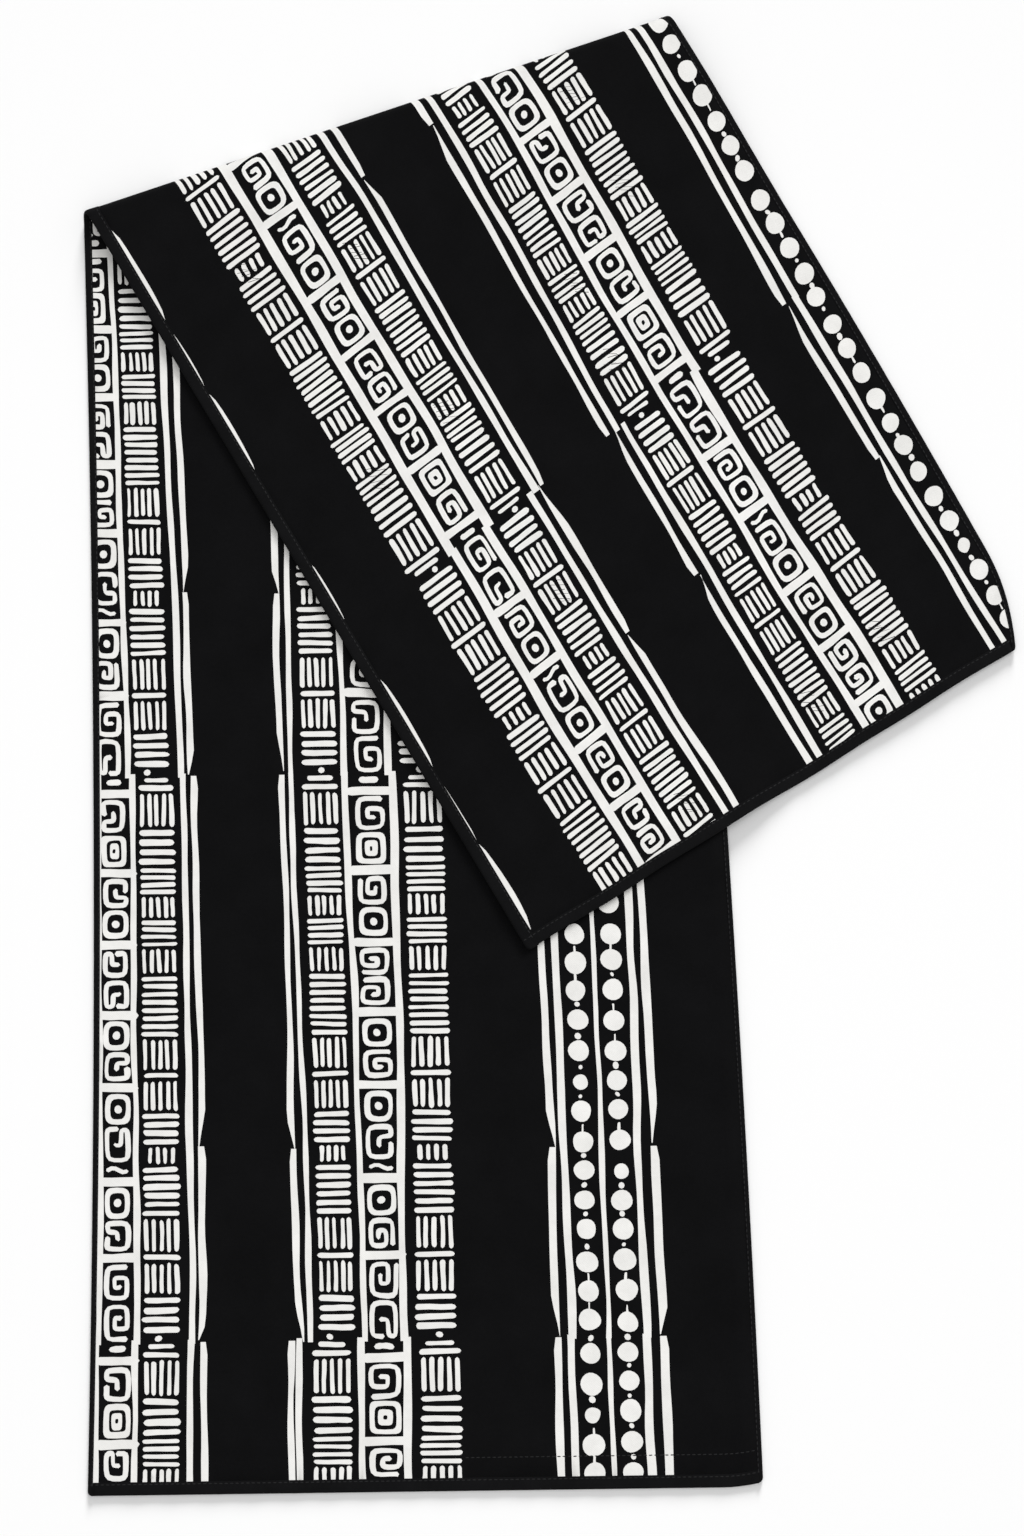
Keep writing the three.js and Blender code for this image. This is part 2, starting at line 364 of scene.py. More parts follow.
# Each band's motif, and its start and end as shares of the width
FACE_BANDS = (
    ("line", 0.009, 0.019), ("cells", 0.021, 0.0615), ("line", 0.0645, 0.075), ("bars", 0.080, 0.136),
    ("line", 0.148, 0.159), ("left_strokes", 0.165, 0.177), ("right_strokes", 0.298, 0.309),
    ("line", 0.315, 0.325), ("bars", 0.336, 0.393), ("line", 0.401, 0.412), ("cells", 0.418, 0.466),
    ("line", 0.470, 0.484), ("bars", 0.493, 0.555), ("right_strokes", 0.694, 0.707),
    ("line", 0.716, 0.729), ("dots", 0.734, 0.767), ("line", 0.776, 0.785), ("dots", 0.791, 0.824),
    ("line", 0.830, 0.844), ("left_strokes", 0.854, 0.868),
)
BACK_BANDS = (
    ("edge_strokes", 0.0185, 0.0268), ("bars", 0.148, 0.215), ("line", 0.222, 0.239),
    ("cells", 0.246, 0.291), ("line", 0.295, 0.311), ("bars", 0.319, 0.378), ("line", 0.389, 0.401),
    ("left_strokes", 0.408, 0.420), ("right_strokes", 0.553, 0.565), ("line", 0.575, 0.586),
    ("bars", 0.596, 0.651), ("line", 0.660, 0.673), ("cells", 0.677, 0.722), ("line", 0.726, 0.743),
    ("bars", 0.752, 0.815), ("right_strokes", 0.910, 0.922), ("line", 0.931, 0.943),
    ("dots", 0.951, 0.984),
)
# What a block holds, band by band: each motif, how many of it, and its run along the cloth in mm
BAR_REPEAT = (
    ("speck", 1, 5), ("bars", 4, 24), ("uprights", 5, 21), ("bars", 1, 5.5), ("uprights", 5, 22),
    ("bars", 6, 33), ("uprights", 4, 12), ("bars", 4, 21.5), ("uprights", 5, 20), ("bars", 1, 5.5),
    ("uprights", 5, 21), ("bars", 8, 40.5), ("uprights", 5, 17), ("bars", 4, 18.5), ("uprights", 5, 15),
    ("bars", 4, 18.5), ("bars", 4, 25), ("uprights", 5, 23), ("bars", 1, 5.5), ("short bar", 1, 5),
)
# The same, where there is one of each
CELL_REPEAT = (
    ("spiral", 23), ("spiral", 22), ("rung", 6), ("spiral", 19), ("ring", 19), ("rung", 6), ("hook", 7),
    ("spiral", 22), ("ring", 19), ("rung", 6), ("spiral", 18), ("ring", 18), ("rung", 6), ("spiral", 18),
    ("spiral", 17), ("rung", 6), ("ring", 18), ("spiral", 18), ("rung", 6), ("square", 20),
    ("spiral", 21), ("rung", 6), ("short bar", 7),
)
EDGE_REPEAT = (
    ("gap", 36), ("stroke", 70), ("gap", 4), ("sliver", 48), ("stroke", 65), ("gap", 62), ("stroke", 53),
)
# The blocks are set down by hand, so each lies a little off the straight and off its neighbour.
Drift = namedtuple("Drift", "across along strays")  # shares of the width, mm up the cloth, mm to the right
FACE_DRIFT = Drift(
    (0.18, 0.31, 0.42, 0.52, 0.70),
    (0, 91, 93, 443, 445, 800),
    (
        (0, -1.5, 0, 0.5, 0), (-0.5, -1.5, 0, 0.5, 0), (-0.5, 3.5, 1, -2.5, 0),
        (-3.5, -2.5, -2, -1, -0.5), (-6, -1.5, -1.5, -3, 0), (-11.5, -1.5, -2, -3, 0),
    ),
)
BACK_DRIFT = Drift(
    (0.20, 0.32, 0.41, 0.57, 0.70, 0.93, 0.97),
    (950, 1139, 1141, 1280, 1410),
    (
        (0.5, 2.5, 3, 0.5, 1.5, 3, 3), (-1, -0.5, 1, -5.5, -2.5, -0.5, 0),
        (0.5, -1.5, -1, -1.5, -3.5, -1.5, -0.5), (0, -1.5, -2, -0.5, -0.5, 0, -0.5),
        (2.5, 0, 2.5, 2.5, 4, 5, 3),
    ),
)
SPIRAL_PATHS = (
    ((1, -0.9), (1, 1), (-1, 1), (-1, -1), (0.36, -1), (0.36, 0.22), (-0.28, 0.22), (-0.28, -0.3)),
    ((1, 0.12), (1, 1), (-1, 1), (-1, -1), (1, -1), (1, -0.36), (0.02, -0.32), (-0.02, 0.25)),
)
CORNER_CUTS = (0.16, 0.25)  # shares of a path's straight parts that its corners lose
HAND = (0.4, 0.8, 1.0, 0.8, 0.4)  # how one stray of the hand carries over to its neighbours
BLOCK_MARGIN = 3 * MM  # from a block's ends, inside which it strays as a whole
BAR_SHARE = 0.59  # of the pitch of bars across the band, and the rest is the ground between two
THICKEST_BAR = 4.0 * MM
BAR_TILT = math.radians(0.8)  # how far a bar usually leans
BAR_CAPS = (0.9, 1.7)  # length of a bar's round ends, in half thicknesses
BAR_SWELLS = (0.86, 1.08)  # thickness of a bar's middle, as shares of its ends'
UPRIGHT_STEP = 1.02 / 5  # of the band's width, from one upright to the next
UPRIGHT_SHARE = 0.56  # of that step
UPRIGHT_GAP = 1.3 * MM  # between uprights and the next bars
RUNG_REACH = 11 * MM  # what a rung has over its cells' width, across the lines at both sides
CELL_GAP = 1.2 * MM  # between two cells
SMALL_DOT, SMALL_DOT_CHANCE = 0.72, 0.08  # a small dot's share of the band's width, and how many are small
BEAD_CHANCE, LINK_CHANCE = 0.48, 0.85  # shares of the dots with a bead, and with a bead or a neck
BEADS = (2.4, 4.2)  # mm
NECK_LENGTH, NECK_WIDTH = 6 * MM, 1.2 * MM
CRACK_COUNT = 6
CRACK_RUN = 14 * MM
CRACK_TILTS = (15, 40)  # degrees
CRACK_WIDTHS = (0.2, 0.4)  # mm
LINE_SHARE = 0.86  # of a band's width, which the brush fills on average
LINE_STEP = 8 * MM  # between the points of a line's sides
LINE_START, LINE_END = 1 * MM, 1.5 * MM  # how far a line runs past its block
STROKE_JOIN = 0.33  # of a block's length, where one stroke ends and the next starts
STROKE_POINTS = (9, 30)  # length in mm of the point in which a stroke starts
SLIVER_SHARE = 0.36  # of a stroke's width
SWELL_POWER = 0.45  # under 1, so that a stroke is full for most of its length


def rounded(path):
    """A path with its corners cut twice, so that they are round."""
    for cut in CORNER_CUTS:
        near = path[:-1] * (1 - cut) + path[1:] * cut
        far = path[:-1] * cut + path[1:] * (1 - cut)
        path = np.concatenate([path[:1], np.stack([near, far], 1).reshape(-1, 2), path[-1:]])
    return path


class BlockPrint:
    """The undyed motifs of one panel, as shapes of closed loops on the flat cloth, and the fine
    cracks through some of them."""

    def __init__(self, settings, bands, drift, seed, cracked):
        self.settings = settings
        self.bands = bands
        self.drift = drift
        self.random = np.random.default_rng(seed)
        self.cracked = cracked
        self.shapes = []
        self.cracks = []

    def blocks(self, start, repeat, end):
        """Sets down one block after another, until they cover the cloth."""
        place = start - repeat * math.ceil(start / repeat)
        while place < end:
            first = len(self.shapes)
            for motif, left, right in self.bands:
                stray = self.random.uniform(-1, 1) * self.settings.band_stray
                left = left * WIDTH + stray
                right = right * WIDTH + stray
                getattr(self, motif)((left + right) / 2, right - left, place, repeat)
            for loops in self.shapes[first:]:
                for loop in loops:
                    within = np.clip(loop[:, 1], place + BLOCK_MARGIN, place + repeat - BLOCK_MARGIN)
                    loop[:, 0] += self.strayed(loop[:, 0], within)
            place += repeat

    def strayed(self, x, y):
        """How far to the right the drift takes places on the flat cloth."""
        across = x / WIDTH
        strays = np.array([np.interp(across, self.drift.across, row) for row in self.drift.strays])
        along = np.array(self.drift.along) * MM
        row = np.clip(np.searchsorted(along, y) - 1, 0, len(along) - 2)
        share = np.clip((y - along[row]) / (along[row + 1] - along[row]), 0, 1)
        columns = np.arange(len(x))
        return (strays[row, columns] * (1 - share) + strays[row + 1, columns] * share) * MM

    def wavering(self, count, closed=False):
        """Numbers about 0 that stray slowly, as a hand does."""
        more = len(HAND) - 1
        strays = self.random.normal(0, self.settings.wobble, count + more)
        if closed:
            strays[-more:] = strays[:more]
        return np.convolve(strays, HAND, "valid")

    def add(self, *loops):
        strayed = []
        for loop in loops:
            stray = np.column_stack([self.wavering(len(loop), True), self.wavering(len(loop), True)])
            strayed.append(loop + stray * 0.5)
        self.shapes.append(strayed)

    # Single motifs

    def bar_outline(self, x, y, reach, thickness, turn):
        """A bar with round ends. turn is its angle from straight across the cloth."""
        half = thickness / 2
        angles = np.radians((-90, -50, 0, 50, 90))
        sides = []
        for _ in range(2):
            cap = half * self.random.uniform(*BAR_CAPS)
            straight = reach / 2 - cap
            swells = half * self.random.uniform(*BAR_SWELLS, 2)
            end = np.column_stack([straight + cap * np.cos(angles), half * np.sin(angles)])
            side = np.array([(straight / 3, swells[0]), (-straight / 3, swells[1])])
            sides.append(np.concatenate([end, side]))
        outline = np.concatenate([sides[0], -sides[1]])
        c, s = math.cos(turn), math.sin(turn)
        return outline @ np.array([(c, s), (-s, c)]) + (x, y)

    def bar(self, x, y, reach, thickness, turn=0.0):
        turn += self.random.normal(0, BAR_TILT)
        self.add(self.bar_outline(x, y, reach, thickness, turn))

    def squarish(self, x, y, width, height, points, squareness):
        """A closed loop: an ellipse at a squareness of 1, and nearer a rectangle below that."""
        angles = np.linspace(0, 2 * math.pi, points, endpoint=False)
        c, s = np.cos(angles), np.sin(angles)
        across = x + width / 2 * np.sign(c) * np.abs(c) ** squareness
        return np.column_stack([across, y + height / 2 * np.sign(s) * np.abs(s) ** squareness])

    def disc(self, x, y, width, height, points=18):
        self.add(self.squarish(x, y, width, height, points, 1))

    def frame(self, x, y, width, height, squareness):
        """A closed stroke of the brush round a cell."""
        border = 2 * self.settings.brush
        outer = self.squarish(x, y, width, height, 20, squareness)
        inner = self.squarish(x, y, width - border, height - border, 16, squareness)
        self.add(outer, inner[::-1])

    def ring(self, x, y, width, height):
        self.frame(x, y, width, height, 0.58)
        self.disc(x, y, self.settings.brush * 1.5, self.settings.brush * 1.6, 10)

    def square(self, x, y, width, height):
        self.frame(x, y, width, height, 0.4)
        border = 3.2 * self.settings.brush
        core = self.squarish(x, y, width - border, height - border, 14, 0.5)
        hole = self.squarish(x, y, width * 0.12, height * 0.14, 8, 0.6)
        self.add(core, hole[::-1])

    def stroke(self, path, widths):
        """A brush stroke along a path, with round ends."""
        ahead = np.gradient(path, axis=0)
        ahead /= np.linalg.norm(ahead, axis=1, keepdims=True)
        side = np.column_stack([-ahead[:, 1], ahead[:, 0]]) * widths[:, None] / 2
        first = path[:1] - ahead[:1] * widths[0] * 0.35
        last = path[-1:] + ahead[-1:] * widths[-1] * 0.45
        self.add(np.concatenate([first, path + side, last, (path - side)[::-1]]))

    def spiral(self, x, y, width, height):
        """A square spiral, turned by quarters and to either hand."""
        brush = self.settings.brush
        path = np.array(SPIRAL_PATHS[self.random.integers(len(SPIRAL_PATHS))])
        path = rounded(path * self.random.uniform(0.93, 1.05, path.shape))
        for _ in range(self.random.integers(4)):
            path = np.column_stack([-path[:, 1], path[:, 0]])
        if self.random.random() < 0.5:
            path = path * (-1, 1)
        path = path * ((width - brush) / 2, (height - brush) / 2) + (x, y)
        self.stroke(path, brush * np.linspace(1.0, 0.85, len(path)))

    def hook(self, x, y, width, height):
        """A short curl of the brush."""
        turns = np.linspace(0, 1, 6)
        path = np.column_stack([(turns - 0.5) * width * 0.75, 0.22 * height * np.sin(turns * 5.5)])
        self.stroke(path + (x, y), np.full(len(turns), self.settings.brush * 0.75))

    def crack(self, x, y, reach):
        """Fine slanting cracks in the wax, which let the dye into the motifs."""
        for step in np.linspace(-0.5, 0.5, CRACK_COUNT):
            tilt = math.radians(self.random.uniform(*CRACK_TILTS))
            spread = reach * self.random.uniform(0.45, 1.0)
            width = self.random.uniform(*CRACK_WIDTHS) * MM
            middle = x + self.random.normal(0, 0.1) * reach
            self.cracks.append([self.bar_outline(middle, y + step * CRACK_RUN, spread, width, tilt)])

    # Bands along the cloth, each over the length of one block

    def laid_out(self, chart, start, repeat):
        """The chart's rows with their starts and runs, scaled to the block."""
        scale = repeat / sum(run for *_, run in chart)
        for *motif, run in chart:
            yield *motif, start, run * scale
            start += run * scale

    def bars(self, middle, reach, start, repeat):
        """Groups of bars across the band, and of uprights between them."""
        for motif, count, y, run in self.laid_out(BAR_REPEAT, start, repeat):
            pitch = run / count
            if motif == "bars":
                for i in range(count):
                    x = middle + self.random.normal(0, 0.25) * MM
                    wide = reach * self.random.uniform(0.96, 1.03)
                    self.bar(x, y + (i + 0.5) * pitch, wide, min(pitch * BAR_SHARE, THICKEST_BAR))
            elif motif == "uprights":
                step = reach * UPRIGHT_STEP
                for i in range(count):
                    x = middle + (i - (count - 1) / 2) * step + self.random.normal(0, 0.12) * MM
                    tall = (run - UPRIGHT_GAP) * self.random.uniform(0.94, 1.02)
                    self.bar(x, y + run / 2, tall, step * UPRIGHT_SHARE, math.pi / 2)
            elif motif == "short bar":
                self.bar(middle, y + run / 2, reach * 0.7, run * BAR_SHARE)
            else:
                x = middle + self.random.uniform(-0.2, 0.2) * reach
                self.disc(x, y + run / 2, run * 0.9, run * 0.75, 8)
        for _ in range(2 if self.cracked else 0):
            y = start + self.random.random() * repeat
            self.crack(middle + self.random.uniform(-0.2, 0.2) * reach, y, reach * 0.6)

    def cells(self, middle, reach, start, repeat):
        """A ladder of rungs, with spirals and rings between them."""
        for motif, y, run in self.laid_out(CELL_REPEAT, start, repeat):
            y += run / 2
            if motif == "rung":
                self.bar(middle, y, reach + RUNG_REACH, run * 0.85)
            elif motif == "short bar":
                self.bar(middle, y, reach * 0.62, run * 0.55)
            else:
                wide = reach * self.random.uniform(0.95, 1.02)
                x = middle + self.random.normal(0, 0.3) * MM
                getattr(self, motif)(x, y, wide, run - CELL_GAP)

    def dots(self, middle, size, start, repeat):
        """A row of discs, with beads, necks or nothing between them."""
        count = round(repeat / self.settings.dot_pitch)
        pitch = repeat / count
        for i in range(count):
            y = start + (i + 0.5 + self.random.uniform(-0.07, 0.07)) * pitch
            x = middle + self.random.normal(0, 0.2) * MM
            small = self.random.random() < SMALL_DOT_CHANCE
            wide = size * (SMALL_DOT if small else self.random.uniform(0.93, 1.03))
            self.disc(x, y, wide, wide * self.random.uniform(0.95, 1.05))
            link = self.random.random()
            if link < BEAD_CHANCE:
                bead = self.random.uniform(*BEADS) * MM
                self.disc(x, y + pitch / 2, bead, bead * 1.1, 8)
            elif link < LINK_CHANCE:
                self.bar(x, y + pitch * 0.42, NECK_LENGTH, NECK_WIDTH, math.pi / 2)

    def drawn_line(self, middle, width, start, end, point=0.0, lean=0):
        """A line whose sides waver. It starts in a point of this length, which leans to one side."""
        count = max(4, round((end - start) / LINE_STEP)) + 1
        along = np.linspace(start, end, count)
        half = np.full(count, width * LINE_SHARE / 2)
        if point:
            half *= np.clip((along - start) / point, 0.08, 1)
            half[-1] *= 0.75
        drift = middle + np.cumsum(self.wavering(count)) * 0.25
        drift += middle - drift.mean() + lean * (half.max() - half)
        left = np.column_stack([drift - half + self.wavering(count) * 0.7, along])
        right = np.column_stack([drift + half + self.wavering(count) * 0.7, along])
        self.shapes.append([np.concatenate([right, left[::-1]])])

    def line(self, middle, width, start, repeat):
        """One line as long as the block."""
        self.drawn_line(middle, width, start - LINE_START, start + repeat + LINE_END)

    def strokes(self, middle, width, start, repeat, lean):
        """A line in two long strokes, each of which starts in a point that leans to one side."""
        join = start + repeat * STROKE_JOIN * self.random.uniform(0.94, 1.06)
        for first, last in ((start, join), (join, start + repeat)):
            first += self.random.uniform(-2, 3) * MM
            side = self.random.normal(0, 0.2) * MM
            point = self.random.uniform(*STROKE_POINTS) * MM
            self.drawn_line(middle + side, width, first, last, point, lean)

    left_strokes = partialmethod(strokes, lean=-1)
    right_strokes = partialmethod(strokes, lean=1)

    def edge_strokes(self, middle, reach, start, repeat):
        """Short strokes that swell out from under the binding, with gaps between them."""
        left = middle - reach / 2
        for motif, y, run in self.laid_out(EDGE_REPEAT, start, repeat):
            if motif == "gap":
                continue
            count = max(6, round(run / LINE_STEP)) + 1
            share = np.linspace(0, 1, count)
            width = reach * (SLIVER_SHARE if motif == "sliver" else 1.0)
            swell = width * np.sin(math.pi * share) ** SWELL_POWER + self.wavering(count) * 0.5
            along = y + run * share
            outer = np.column_stack([left + swell, along])
            inner = np.column_stack([np.full(count, left - width * 0.1), along])
            self.shapes.append([np.concatenate([outer, inner[::-1]])])


# Cutting the flat cloth along the print

CUT_EPSILON = 1e-6


def winding(points, loop):
    """How many times a closed loop runs round each point."""
    a, b = loop, np.roll(loop, -1, axis=0)
    x, y = points[:, 0, None], points[:, 1, None]
    side = (b[:, 0] - a[:, 0]) * (y - a[:, 1]) - (x - a[:, 0]) * (b[:, 1] - a[:, 1])
    rising = (a[:, 1] <= y) & (b[:, 1] > y) & (side > 0)
    falling = (a[:, 1] > y) & (b[:, 1] <= y) & (side < 0)
    return rising.sum(1) - falling.sum(1)


def covered(points, shapes):
    """Whether each point lies in one of the shapes."""
    order = np.argsort(points[:, 1])
    heights = points[order, 1]
    found = np.zeros(len(points), bool)
    for loops in shapes:
        low = min(loop[:, 1].min() for loop in loops)
        high = max(loop[:, 1].max() for loop in loops)
        near = order[np.searchsorted(heights, low) : np.searchsorted(heights, high)]
        near = near[(points[near, 0] >= loops[0][:, 0].min()) & (points[near, 0] <= loops[0][:, 0].max())]
        if len(near):
            found[near] |= sum(winding(points[near], loop) for loop in loops) != 0
    return found


def cut_cloth(outline, lines, shapes, cracks):
    """Cuts the flat cloth along the lines and the outlines of the shapes. Returns the points, the
    triangles, and whether each triangle is undyed."""
    places, edges = [], []
    loops = [outline] + [loop for shape in shapes + cracks for loop in shape]
    for points, closed in [(line, False) for line in lines] + [(loop, True) for loop in loops]:
        first = len(places)
        places.extend(Vector(p) for p in points)
        edges.extend((i, i + 1) for i in range(first, len(places) - 1))
        if closed:
            edges.append((len(places) - 1, first))
    cut = delaunay_2d_cdt(places, edges, [], 0, CUT_EPSILON)
    points = np.array([tuple(p) for p in cut[0]])
    triangles = np.array([tuple(face) for face in cut[2]])
    triangles = triangles[covered(points[triangles].mean(axis=1), [[outline]])]
    centres = points[triangles].mean(axis=1)
    undyed = covered(centres, shapes) & ~covered(centres, cracks)
    used, triangles = np.unique(triangles, return_inverse=True)
    return points[used], triangles.reshape(-1, 3), undyed


# Pieces and materials

SLUB_RUN = 2.2 * MM  # length of the thick places in the threads
SLUB_SHARE = 0.35  # of the slubs in the cotton's tone, beside the patches
WEAVE_SHARE = 0.35  # of the threads in the cotton's relief, beside the slubs
WEAVE_DEPTH = 0.25 * MM
ROUGHNESS_SPREAD = 0.06
FIBRE_RUN = 0.5 * MM  # length of the uneven places in a sewing thread
FIBRE_DEPTH = 0.1 * MM


def new_piece(name, points, faces, materials, node):
    """A smooth mesh object that stands for a CAD node and rides on the runner's body."""
    mesh = bpy.data.meshes.new(name)
    mesh.from_pydata([tuple(p) for p in points], [], [tuple(f) for f in faces])
    mesh.validate()
    if len(mesh.polygons) != len(faces):
        raise RuntimeError(f"{name} lost {len(faces) - len(mesh.polygons)} faces")
    mesh.polygons.foreach_set("use_smooth", np.ones(len(mesh.polygons), bool))
    for material in materials:
        mesh.materials.append(material)
    piece = bpy.data.objects.new(name, mesh)
    bpy.context.scene.collection.objects.link(piece)
    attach(piece, BODY)
    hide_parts(node)
    return piece


def add_map(mesh, name, corners):
    """A UV map from one place for each corner of each face."""
    layer = mesh.uv_layers.new(name=name)
    layer.uv.foreach_set("vector", np.asarray(corners, np.float32).ravel())


def add_node(tree, kind, settings=None, **inputs):
    """A node with its settings, and its inputs set to values, or linked to sockets or to the first
    outputs of other nodes. An input is named, or numbered after an underscore."""
    node = tree.nodes.new(kind)
    for key, value in (settings or {}).items():
        setattr(node, key, value)
    for key, value in inputs.items():
        socket = node.inputs[int(key[1:])] if key[1:].isdigit() else node.inputs[key.replace("_", " ")]
        if isinstance(value, bpy.types.Node):
            value = value.outputs[0]
        if isinstance(value, bpy.types.NodeSocket):
            tree.links.new(value, socket)
        else:
            socket.default_value = value
    return node


def new_material(name):
    """An empty material, and what adds a node to it."""
    material = bpy.data.materials.new(name)
    material.use_nodes = True
    material.node_tree.nodes.clear()
    return material, partial(add_node, material.node_tree)


def woven_cotton(name, colour, thread_pitch, mottle, mottle_run, roughness, specular):
    """Plain-woven cotton: matt, with the grid of its threads and an uneven hold on its dye. The
    weave is drawn on the flat cloth, in metres, so it turns with the flap. Its threads are drawn
    about twice as wide as the real ones, which are too fine to show."""
    material, add = new_material(name)
    scale, multiply, mix = {"operation": "SCALE"}, {"operation": "MULTIPLY"}, {"operation": "MULTIPLY_ADD"}
    cloth = add("ShaderNodeUVMap", {"uv_map": "cloth"})
    threads = add("ShaderNodeVectorMath", scale, _0=cloth, Scale=math.pi / thread_pitch)
    waves = add("ShaderNodeVectorMath", {"operation": "SINE"}, _0=threads)
    parts = add("ShaderNodeSeparateXYZ", _0=waves).outputs
    weave = add("ShaderNodeMath", multiply, _0=parts["X"], _1=parts["Y"])
    slubs = add("ShaderNodeTexNoise", Vector=cloth, Scale=1 / SLUB_RUN, Detail=3.0, Roughness=0.7)
    patches = add("ShaderNodeTexNoise", Vector=cloth, Scale=1 / mottle_run, Detail=4.0, Roughness=0.6)
    height = add("ShaderNodeMath", mix, _0=weave, _1=WEAVE_SHARE, _2=slubs)
    bump = add("ShaderNodeBump", Strength=0.35, Distance=WEAVE_DEPTH, Height=height)
    tone = add("ShaderNodeMath", mix, _0=slubs, _1=SLUB_SHARE, _2=patches)
    shade = add(
        "ShaderNodeMapRange", Value=tone, From_Min=0.4, From_Max=0.95, To_Min=1 - mottle, To_Max=1 + mottle
    )
    dyed = add("ShaderNodeVectorMath", scale, _0=colour[:3], Scale=shade)
    rough = add(
        "ShaderNodeMapRange", Value=patches, From_Min=0.3, From_Max=0.7,
        To_Min=roughness - ROUGHNESS_SPREAD, To_Max=roughness + ROUGHNESS_SPREAD,
    )
    surface = add(
        "ShaderNodeBsdfPrincipled", Base_Color=dyed, Roughness=rough, Normal=bump,
        Specular_IOR_Level=specular, Sheen_Weight=0.015, Sheen_Roughness=0.6,
    )
    add("ShaderNodeOutputMaterial", Surface=surface)
    return material


def spun_thread(name, colour):
    """Spun sewing thread: a faint gloss, and fine uneven fibres."""
    material, add = new_material(name)
    place = add("ShaderNodeTexCoord").outputs["Object"]
    fibres = add("ShaderNodeTexNoise", Vector=place, Scale=1 / FIBRE_RUN, Detail=2.0)
    shade = add(
        "ShaderNodeMapRange", Value=fibres, From_Min=0.3, From_Max=0.7, To_Min=0.7, To_Max=1.3
    )
    tone = add("ShaderNodeVectorMath", {"operation": "SCALE"}, _0=colour[:3], Scale=shade)
    bump = add("ShaderNodeBump", Strength=0.4, Distance=FIBRE_DEPTH, Height=fibres)
    surface = add(
        "ShaderNodeBsdfPrincipled", Base_Color=tone, Normal=bump, Roughness=0.6, Specular_IOR_Level=0.2
    )
    add("ShaderNodeOutputMaterial", Surface=surface)
    return material


def rows_between(start, end, count):
    return np.linspace(start, end, count, endpoint=False)


PANEL_ROWS = np.concatenate([
    rows_between(0, 1, 44), rows_between(1, 2, 14), rows_between(2, 2.36, 18),
    rows_between(2.36, 3, 24), [3.0],
])
PANEL_COLUMNS = np.linspace(0, 1, 33)
PANEL_INSET = 1.8 * MM  # the panel's edge lies this far inside the binding
PANEL_OFFSET = 0.68 * MM  # from the middle of the runner to a panel's outer face
BAKE_LENGTH = 1.45  # of the flat cloth, in metres, that fills one copy on the export's map
BAKE_COPY = (0.48, 0.98)  # size of a copy there
BAKE_MARGIN = 0.01
BAKE_STEP = 0.5  # from one copy to the next


